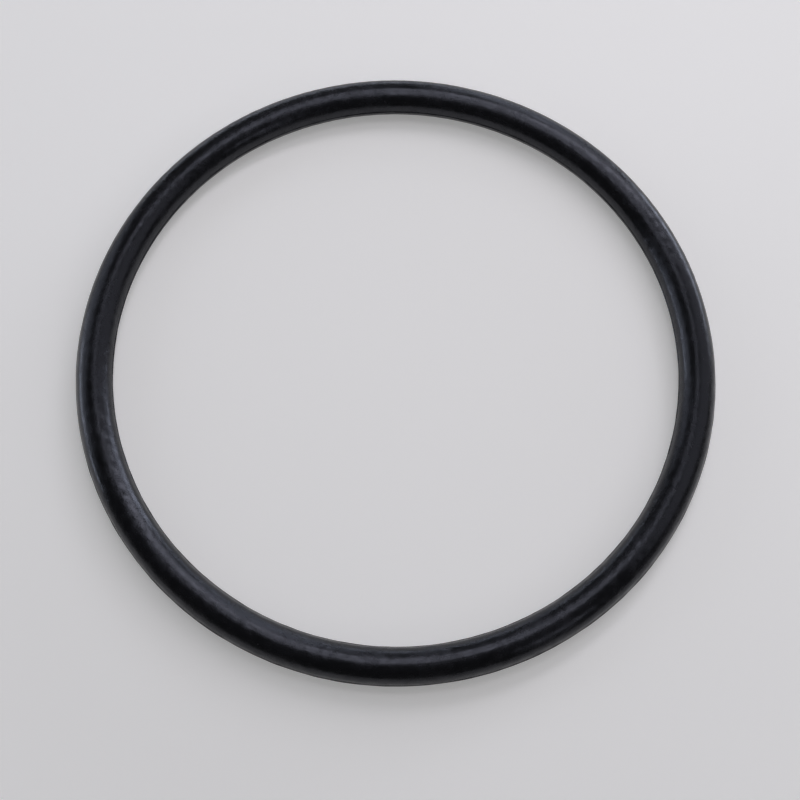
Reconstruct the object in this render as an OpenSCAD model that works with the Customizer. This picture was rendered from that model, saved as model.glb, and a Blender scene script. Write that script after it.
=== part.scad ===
// A moulded rubber O-ring that lies flat. Its axis is Z, and the origin is the ring's centre,
// halfway up the section.

/* [Ring] */
// Inside diameter of the ring, across the hole between the round sections
inside_d = 40.94; // [20:0.01:120]
// Diameter of the round section, which is also the ring's height
section_d = 2.62; // [1.78:0.01:6.99]

/* [Parting line] */
// Height of the thin trimmed edge that is left where the two mould halves met
parting_h = 0.14; // [0.08:0.02:0.3]
// How far the trimmed edge stands proud of the section, inside and outside the ring
parting_out = 0.04; // [0.02:0.01:0.1]

/* [Hidden] */
// Radius of the circle that the centre of the section follows
centre_r = (inside_d + section_d) / 2;
// Segments around the section and around the ring when the model is shown as a mesh
section_segments = 64;
ring_segments = 240;

// The cross-section about its own centre: a round cord with the mould's parting line across it,
// so that its ends stand proud on the inside and on the outside of the ring.
module cross_section() {
    circle(d = section_d, $fn = section_segments);
    square([section_d + 2 * parting_out, parting_h], center = true);
}

// The whole ring, moulded in one piece from black nitrile rubber.
module o_ring() {
    color("#1f1f22")
        rotate_extrude($fn = ring_segments)
            translate([centre_r, 0])
                cross_section();
}

o_ring();
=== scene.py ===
"""A black moulded rubber o-ring that lies flat on a pale floor under soft studio light."""

import bpy
import numpy as np
from mathutils import Matrix, Quaternion, Vector


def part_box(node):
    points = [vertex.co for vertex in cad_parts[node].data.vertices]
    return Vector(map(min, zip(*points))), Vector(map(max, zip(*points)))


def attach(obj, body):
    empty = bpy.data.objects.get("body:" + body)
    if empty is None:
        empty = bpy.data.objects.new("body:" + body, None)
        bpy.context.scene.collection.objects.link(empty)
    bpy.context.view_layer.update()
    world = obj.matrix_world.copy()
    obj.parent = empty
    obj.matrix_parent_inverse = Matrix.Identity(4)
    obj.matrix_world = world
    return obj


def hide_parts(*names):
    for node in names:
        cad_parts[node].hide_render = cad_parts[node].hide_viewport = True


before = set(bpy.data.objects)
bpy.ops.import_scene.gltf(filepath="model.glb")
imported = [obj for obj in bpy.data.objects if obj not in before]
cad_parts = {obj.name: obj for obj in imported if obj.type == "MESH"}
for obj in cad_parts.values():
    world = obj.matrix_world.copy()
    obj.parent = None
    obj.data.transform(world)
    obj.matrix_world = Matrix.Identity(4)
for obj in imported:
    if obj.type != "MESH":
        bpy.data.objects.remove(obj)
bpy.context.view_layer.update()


# The ring's moulded shape
# A cord of black nitrile rubber with a round section, closed on itself. It is moulded in one piece
# between two steel plates, each with a turned groove for half of the section. Where the plates met,
# the flash was trimmed off, which leaves a thin raised line round the inside and the outside.
MM = 0.001
PARTING_PROUD = 0.04 * MM
PARTING_HALF_WIDTH = 0.07 * MM
# The trimming leaves this share of the line's height on the whole, and up to this much more or less.
TRIM_LEVEL = 0.78
TRIM_RAGGEDNESS = 0.22
# The skin lies a little under the nominal section, so that its waves stay inside it.
SKIN_SETBACK = 0.017 * MM
LATHE_WAVE_DEPTH = 0.002 * MM
LATHE_DRIFT = 0.9
PEEL_WAVE_DEPTH = 0.00045 * MM
PEEL_WAVES = 90
STEPS_ROUND_RING = 900
STEPS_ROUND_SECTION = 106
STEP_CROWDING = 0.7
ring_low, ring_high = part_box("o_ring")
section_r = (ring_high.z - ring_low.z) / 2
centre_r = ring_high.x - section_r - PARTING_PROUD


def moulded_section(round_ring, round_section):
    """Radius of the section at each pair of angles. To the nominal radius are added the shallow waves
    that the lathe left along the grooves, the slight orange peel of the cured rubber, and the trimmed
    line, whose height is ragged. The peel is a sum of cosines of a whole count round the ring and one
    round the section, 0.8 to 5.5 mm and 0.8 mm or more from crest to crest. The line's profile is 1
    over 1 plus the sixth power of the height over the half width: flat with round corners."""
    skin = np.zeros(np.broadcast(round_ring, round_section).shape)
    draw = np.random.default_rng(11)
    for count, depth in ((7, 1.6), (12, 1.1), (17, 0.8), (23, 0.5)):
        start, drift_start = draw.uniform(0, 2 * np.pi, 2)
        drift = LATHE_DRIFT * np.sin(round_ring * draw.integers(1, 4) + drift_start)
        skin += LATHE_WAVE_DEPTH * depth * np.cos(count * round_section + start + drift)
    for _ in range(PEEL_WAVES):
        along, across = draw.integers((25, -10), (171, 11))
        start = draw.uniform(0, 2 * np.pi)
        skin += PEEL_WAVE_DEPTH * np.cos(along * round_ring + across * round_section + start)
    height = section_r * np.sin(round_section)
    profile = 1 / (1 + (height / PARTING_HALF_WIDTH) ** 6)
    trim = np.zeros(np.shape(round_ring))
    for count in (5, 13, 31, 58, 97):
        trim = trim + draw.uniform(0.5, 1.0) * np.sin(count * round_ring + draw.uniform(0, 2 * np.pi))
    trim = TRIM_LEVEL + TRIM_RAGGEDNESS * np.tanh(trim)
    return section_r + (skin - SKIN_SETBACK) * (1 - profile) + PARTING_PROUD * trim * profile


def closed_ring():
    """Points, four-cornered faces, mould path and unrolled map of the ring. A point's angles are one
    round the ring and one round the section. The steps round the section are close at the two parting
    lines and wide between. The mould path is the cosine and sine of the angle round the ring and the
    angle round the section, which starts again inside the outer parting line, where that doesn't show.
    The unrolled map gives each face corner its share of the way round the ring and the section."""
    along = np.arange(STEPS_ROUND_RING) * 2 * np.pi / STEPS_ROUND_RING
    even = np.arange(STEPS_ROUND_SECTION) * 2 * np.pi / STEPS_ROUND_SECTION
    across = even - STEP_CROWDING * np.sin(2 * even) / 2
    round_ring, round_section = np.meshgrid(along, across, indexing="ij")
    radius = moulded_section(round_ring, round_section)
    out = centre_r + radius * np.cos(round_section)
    up = radius * np.sin(round_section)
    points = np.stack([out * np.cos(round_ring), out * np.sin(round_ring), up], -1)
    i, j = np.meshgrid(np.arange(STEPS_ROUND_RING), np.arange(STEPS_ROUND_SECTION), indexing="ij")
    i_next = (i + 1) % STEPS_ROUND_RING
    j_next = (j + 1) % STEPS_ROUND_SECTION
    corners = [i * STEPS_ROUND_SECTION + j, i_next * STEPS_ROUND_SECTION + j,
               i_next * STEPS_ROUND_SECTION + j_next, i * STEPS_ROUND_SECTION + j_next]
    faces = np.stack(corners, -1).reshape(-1, 4)
    mould_path = np.stack([np.cos(round_ring), np.sin(round_ring), round_section], -1)
    share_of_ring = np.stack([i, i + 1, i + 1, i], -1) / STEPS_ROUND_RING
    share_of_section = np.stack([j, j, j + 1, j + 1], -1) / STEPS_ROUND_SECTION
    unrolled = np.stack([share_of_ring, share_of_section], -1)
    return points.reshape(-1, 3), faces, mould_path.reshape(-1, 3), unrolled


points, faces, mould_path, unrolled = closed_ring()
mesh = bpy.data.meshes.new("moulded_ring")
mesh.from_pydata(points, [], faces)
mesh.shade_smooth()
path_on_mesh = mesh.attributes.new("mould_path", "FLOAT_VECTOR", "POINT")
path_on_mesh.data.foreach_set("vector", mould_path.ravel())
mesh.uv_layers.new(name="unrolled").data.foreach_set("uv", unrolled.ravel())
mesh.update()
moulded_ring = bpy.data.objects.new("moulded_ring", mesh)
bpy.context.scene.collection.objects.link(moulded_ring)
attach(moulded_ring, "root")
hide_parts("o_ring")


# The ring's surface
# Black nitrile rubber, cured with carbon black against turned and lightly blasted steel. The eye sees
# a satin sheen in soft grey bands that end in near black, with faint streaks along the ring, a fine
# mottle and grain, patches of haze from bloom, and a few specks of dust.
def linear(code):
    """Linear colour of an sRGB hex value, with full opacity."""
    srgb = np.array([int(code[i:i + 2], 16) for i in (1, 3, 5)]) / 255
    return (*np.where(srgb <= 0.04045, srgb / 12.92, ((srgb + 0.055) / 1.055) ** 2.4), 1.0)


def add_node(tree, kind, settings, feeds=None):
    """A new node. Settings are its properties or its inputs' values, and feeds are the outputs that its
    inputs read. An input goes by its name, or by its number where names repeat."""
    node = tree.nodes.new("ShaderNode" + kind)
    for name, value in settings.items():
        if isinstance(name, str) and hasattr(node, name):
            setattr(node, name, value)
        else:
            node.inputs[name].default_value = value
    for name, source in (feeds or {}).items():
        tree.links.new(source, node.inputs[name])
    return node


RUBBER_BLACK = "#070708"
RUBBER_HAZED = "#0b0b0e"
DUST_GREY = "#3a3a3d"
# Nitrile rubber's index is about 1.5. The bands are matched by a little less.
RUBBER_INDEX = 1.45
SHEEN_TINT = "#f0f3ff"
# The mould's turned lines run round the ring, so the sheen spreads wide across the section and little
# along the ring. The quarter turn lays its wide way across the tangent, which runs round the ring.
SHEEN_STRETCH = 0.75
SHEEN_TURN = 0.25
ROUGHNESS_LOW = 0.17
ROUGHNESS_HIGH = 0.33
LATHE_LINE_SPACING = 0.24 * MM
LATHE_LINE_LENGTH = 14.0 * MM
LATHE_LINE_DEPTH = 0.008 * MM
# The mottle is the orange peel that is too fine for the mesh, drawn out along the ring by the lathe.
MOTTLE_LENGTH = 0.75 * MM
MOTTLE_WIDTH = 0.42 * MM
MOTTLE_DEPTH = 0.011 * MM
# The real grain is about 0.02 mm. It is drawn four to five times coarser, so that it shows.
GRAIN = 0.09 * MM
GRAIN_DEPTH = 0.006 * MM
HAZE_PATCH = 3.0 * MM
# One in four of the cells that the dust is spread over holds a speck.
DUST_SPACING = 1.1 * MM
DUST_RADIUS = 0.0495 * MM
DUST_SHARE = 0.25

rubber = bpy.data.materials.new("moulded_nitrile_rubber")
rubber.use_nodes = True
tree = rubber.node_tree
place = add_node(tree, "TexCoord", {}).outputs["Object"]
path = add_node(tree, "Attribute", {"attribute_name": "mould_path"}).outputs["Vector"]
lathe_size = (centre_r / LATHE_LINE_LENGTH, centre_r / LATHE_LINE_LENGTH, section_r / LATHE_LINE_SPACING)
lathe_place = add_node(tree, "Mapping", {"Scale": lathe_size}, {"Vector": path})
lathe = add_node(tree, "TexNoise", {"Scale": 1.0, "Detail": 2.0, "Roughness": 0.6},
                 {"Vector": lathe_place.outputs[0]}).outputs["Fac"]
mottle_size = (centre_r / MOTTLE_LENGTH, centre_r / MOTTLE_LENGTH, section_r / MOTTLE_WIDTH)
mottle_place = add_node(tree, "Mapping", {"Scale": mottle_size}, {"Vector": path})
mottle = add_node(tree, "TexNoise", {"Scale": 1.0, "Detail": 2.0, "Roughness": 0.5},
                  {"Vector": mottle_place.outputs[0]}).outputs["Fac"]
grain = add_node(tree, "TexNoise", {"Scale": 1 / GRAIN, "Detail": 1.0}, {"Vector": place}).outputs["Fac"]
haze = add_node(tree, "TexNoise", {"Scale": 1 / HAZE_PATCH, "Detail": 4.0, "Roughness": 0.62},
                {"Vector": place}).outputs["Fac"]

# The haze and the mottle dull the sheen together. Each is noise about 0.5, and the range takes in
# nearly all of their sum.
dulling = add_node(tree, "Math", {"operation": "ADD"}, {0: haze, 1: mottle}).outputs[0]
dulling_to_roughness = {"From Min": 0.7, "From Max": 1.3, "To Min": ROUGHNESS_LOW, "To Max": ROUGHNESS_HIGH}
roughness = add_node(tree, "MapRange", dulling_to_roughness, {"Value": dulling}).outputs[0]

blacks = add_node(tree, "ValToRGB", {}, {"Fac": haze})
blacks.color_ramp.elements[0].position = 0.3
blacks.color_ramp.elements[0].color = linear(RUBBER_BLACK)
blacks.color_ramp.elements[1].position = 0.7
blacks.color_ramp.elements[1].color = linear(RUBBER_HAZED)
dust_cells = add_node(tree, "TexVoronoi", {"Scale": 1 / DUST_SPACING}, {"Vector": place})
dust_draw = add_node(tree, "SeparateColor", {}, {"Color": dust_cells.outputs["Color"]}).outputs[0]
near_middle = add_node(tree, "Math", {"operation": "LESS_THAN", 1: DUST_RADIUS / DUST_SPACING},
                       {0: dust_cells.outputs["Distance"]}).outputs[0]
chosen = add_node(tree, "Math", {"operation": "GREATER_THAN", 1: 1 - DUST_SHARE}, {0: dust_draw}).outputs[0]
dust = add_node(tree, "Math", {"operation": "MULTIPLY"}, {0: near_middle, 1: chosen}).outputs[0]
dusty_black = add_node(tree, "Mix", {"data_type": "RGBA", 7: linear(DUST_GREY)},
                       {0: dust, 6: blacks.outputs[0]}).outputs[2]

lathe_relief = add_node(tree, "Bump", {"Strength": 1.0, "Distance": LATHE_LINE_DEPTH}, {"Height": lathe})
mottle_relief = add_node(tree, "Bump", {"Strength": 1.0, "Distance": MOTTLE_DEPTH},
                         {"Height": mottle, "Normal": lathe_relief.outputs[0]})
grain_relief = add_node(tree, "Bump", {"Strength": 1.0, "Distance": GRAIN_DEPTH},
                        {"Height": grain, "Normal": mottle_relief.outputs[0]})
round_the_ring = add_node(tree, "Tangent", {"direction_type": "UV_MAP", "uv_map": "unrolled"})

shader = tree.nodes["Principled BSDF"]
shader.inputs["IOR"].default_value = RUBBER_INDEX
shader.inputs["Specular Tint"].default_value = linear(SHEEN_TINT)
shader.inputs["Anisotropic"].default_value = SHEEN_STRETCH
shader.inputs["Anisotropic Rotation"].default_value = SHEEN_TURN
tree.links.new(round_the_ring.outputs[0], shader.inputs["Tangent"])
tree.links.new(dusty_black, shader.inputs["Base Color"])
tree.links.new(roughness, shader.inputs["Roughness"])
tree.links.new(grain_relief.outputs[0], shader.inputs["Normal"])
mesh.materials.append(rubber)


# The floor
# A wide sheet of pale matt paper. The camera and the ring's sheen see it lifted towards white, and
# further from the ring the camera sees it fade into one even tone, which the backdrop has too, so that
# no horizon shows from the side.
PAPER = "#f4f1ec"
PAPER_LIFT = 0.25
EVEN_TONE = "#d9d9db"
EVEN_FROM = 30 * MM
EVEN_BEYOND = 105 * MM
FLOOR_HALF = 6.0
floor_z = ring_low.z
floor_mesh = bpy.data.meshes.new("floor")
floor_mesh.from_pydata([(-FLOOR_HALF, -FLOOR_HALF, floor_z), (FLOOR_HALF, -FLOOR_HALF, floor_z),
                        (FLOOR_HALF, FLOOR_HALF, floor_z), (-FLOOR_HALF, FLOOR_HALF, floor_z)],
                       [], [(0, 1, 2, 3)])
floor = bpy.data.objects.new("floor", floor_mesh)
bpy.context.scene.collection.objects.link(floor)

paper = bpy.data.materials.new("pale_paper")
paper.use_nodes = True
tree = paper.node_tree
tree.nodes.remove(tree.nodes["Principled BSDF"])
ray = add_node(tree, "LightPath", {}).outputs
seen_or_mirrored = add_node(tree, "Math", {"operation": "MAXIMUM"},
                            {0: ray["Is Camera Ray"], 1: ray["Is Glossy Ray"]}).outputs[0]
matt = add_node(tree, "BsdfDiffuse", {"Color": linear(PAPER)}).outputs[0]
lift = add_node(tree, "Emission", {"Color": linear("#ffffff"), "Strength": PAPER_LIFT}).outputs[0]
lifted = add_node(tree, "AddShader", {}, {0: matt, 1: lift}).outputs[0]
near_paper = add_node(tree, "MixShader", {}, {0: seen_or_mirrored, 1: matt, 2: lifted}).outputs[0]
place = add_node(tree, "TexCoord", {}).outputs["Object"]
distance = add_node(tree, "VectorMath", {"operation": "LENGTH"}, {0: place}).outputs["Value"]
fade = {"interpolation_type": "SMOOTHSTEP", "From Min": EVEN_FROM, "From Max": EVEN_BEYOND}
far = add_node(tree, "MapRange", fade, {"Value": distance}).outputs[0]
far_and_seen = add_node(tree, "Math", {"operation": "MULTIPLY"},
                        {0: far, 1: ray["Is Camera Ray"]}).outputs[0]
even_tone = add_node(tree, "Emission", {"Color": linear(EVEN_TONE)}).outputs[0]
whole_paper = add_node(tree, "MixShader", {}, {0: far_and_seen, 1: near_paper, 2: even_tone}).outputs[0]
tree.links.new(whole_paper, tree.nodes["Material Output"].inputs["Surface"])
floor_mesh.materials.append(paper)


# The studio light
# Soft lights on stands, most of them behind the ring. The long box and the ones above it give the broad
# grey bands, the low boxes the thinner ones, and two strips just above the floor the bright edges.
def softbox(name, azimuth, elevation, roll, half_width, half_height, reach, radiance, tint):
    """A rectangular soft light that faces the ring and isn't seen itself. The angles are in degrees
    from the ring, azimuth from +X towards +Y, and roll turns the box about the line to the ring. The
    reach is in radii of the circle that the section's centre follows. The light's power is pi times
    its area times its radiance, in which 1 is white."""
    distance = reach * centre_r
    across = 2 * distance * np.tan(np.radians(half_width))
    high = 2 * distance * np.tan(np.radians(half_height))
    level = np.cos(np.radians(elevation))
    toward = Vector((level * np.cos(np.radians(azimuth)), level * np.sin(np.radians(azimuth)),
                     np.sin(np.radians(elevation))))
    data = bpy.data.lights.new(name, "AREA")
    data.shape = "RECTANGLE"
    data.size = across
    data.size_y = high
    data.energy = np.pi * across * high * radiance
    data.color = linear(tint)[:3]
    lamp = bpy.data.objects.new(name, data)
    lamp.location = toward * distance
    turn = Quaternion((0, 0, 1), np.radians(roll))
    lamp.rotation_euler = (toward.to_track_quat("Z", "Y") @ turn).to_euler()
    lamp.visible_camera = False
    bpy.context.scene.collection.objects.link(lamp)


NEAR = 7.5
FAR = 60
DAYLIGHT = "#f3f3ff"
COOL = "#e9efff"
COOLEST = "#e6eeff"
softbox("long_softbox", azimuth=68, elevation=50, roll=48, half_width=21, half_height=5.7,
        reach=NEAR, radiance=4.05, tint=DAYLIGHT)
softbox("upper_softbox", azimuth=78, elevation=71, roll=90, half_width=13, half_height=3.6,
        reach=NEAR, radiance=0.9, tint=DAYLIGHT)
softbox("overhead_softbox", azimuth=92, elevation=83, roll=36, half_width=9, half_height=8,
        reach=NEAR, radiance=2.5, tint=DAYLIGHT)
softbox("wide_softbox", azimuth=22, elevation=38, roll=-48, half_width=29, half_height=25,
        reach=NEAR, radiance=0.56, tint=DAYLIGHT)
softbox("middle_softbox", azimuth=102, elevation=39, roll=52, half_width=19, half_height=4.6,
        reach=FAR, radiance=0.2, tint=DAYLIGHT)
softbox("side_softbox", azimuth=-48, elevation=36, roll=0, half_width=6, half_height=7,
        reach=12.7, radiance=1.5, tint=DAYLIGHT)
softbox("right_softbox", azimuth=35, elevation=2, roll=28, half_width=19, half_height=6.6,
        reach=59, radiance=6.8, tint=COOL)
softbox("left_softbox", azimuth=159, elevation=18, roll=-14, half_width=21, half_height=18,
        reach=NEAR, radiance=0.93, tint=COOL)
softbox("rear_softbox", azimuth=74, elevation=25, roll=-28, half_width=10, half_height=7.3,
        reach=FAR, radiance=2.5, tint=COOL)
softbox("rear_rim_strip", azimuth=90, elevation=3, roll=0, half_width=42, half_height=2,
        reach=FAR, radiance=6.0, tint=COOLEST)
softbox("left_rim_strip", azimuth=172, elevation=2.5, roll=0, half_width=16, half_height=2,
        reach=FAR, radiance=9.0, tint=COOLEST)

# White walls fill the shadows. The camera sees the backdrop in the floor's even tone instead.
FILL_STRENGTH = 0.08
world = bpy.data.worlds.new("studio")
bpy.context.scene.world = world
world.use_nodes = True
tree = world.node_tree
fill = tree.nodes["Background"]
fill.inputs["Color"].default_value = linear("#ffffff")
fill.inputs["Strength"].default_value = FILL_STRENGTH
backdrop = add_node(tree, "Background", {"Color": linear(EVEN_TONE), "Strength": 1.0}).outputs[0]
seen = add_node(tree, "LightPath", {}).outputs["Is Camera Ray"]
studio = add_node(tree, "MixShader", {}, {0: seen, 1: fill.outputs[0], 2: backdrop}).outputs[0]
tree.links.new(studio, tree.nodes["World Output"].inputs["Surface"])


# The camera
# It looks down on the ring from 19.6 degrees off the ring's axis, with the far side at the top, as the
# photograph sees it. Distance and aim are in radii of the circle that the section's centre follows.
CAMERA_TILT = np.radians(19.61)
CAMERA_ROLL = np.radians(1.60)
CAMERA_DISTANCE = 4.5 * centre_r
CAMERA_AIM = Vector((0.0146, -0.1311, 0.0)) * centre_r
LENS_MM = 60.84
SENSOR_MM = 36.0
NEAREST_SEEN = 0.005
FARTHEST_SEEN = 20.0

eye = Vector((0.0, -np.sin(CAMERA_TILT), np.cos(CAMERA_TILT))) * CAMERA_DISTANCE
forward = (CAMERA_AIM - eye).normalized()
right = forward.cross(Vector((0, 0, 1))).normalized()
up = right.cross(forward)
turned_right = np.cos(CAMERA_ROLL) * right + np.sin(CAMERA_ROLL) * up
turned_up = np.cos(CAMERA_ROLL) * up - np.sin(CAMERA_ROLL) * right
camera_data = bpy.data.cameras.new("camera")
camera_data.lens = LENS_MM
camera_data.sensor_width = SENSOR_MM
camera_data.clip_start = NEAREST_SEEN
camera_data.clip_end = FARTHEST_SEEN
camera = bpy.data.objects.new("camera", camera_data)
axes = Matrix((turned_right, turned_up, -forward)).transposed()
camera.matrix_world = Matrix.Translation(eye) @ axes.to_4x4()
bpy.context.scene.collection.objects.link(camera)
bpy.context.scene.camera = camera
bpy.context.scene.view_settings.view_transform = "Standard"
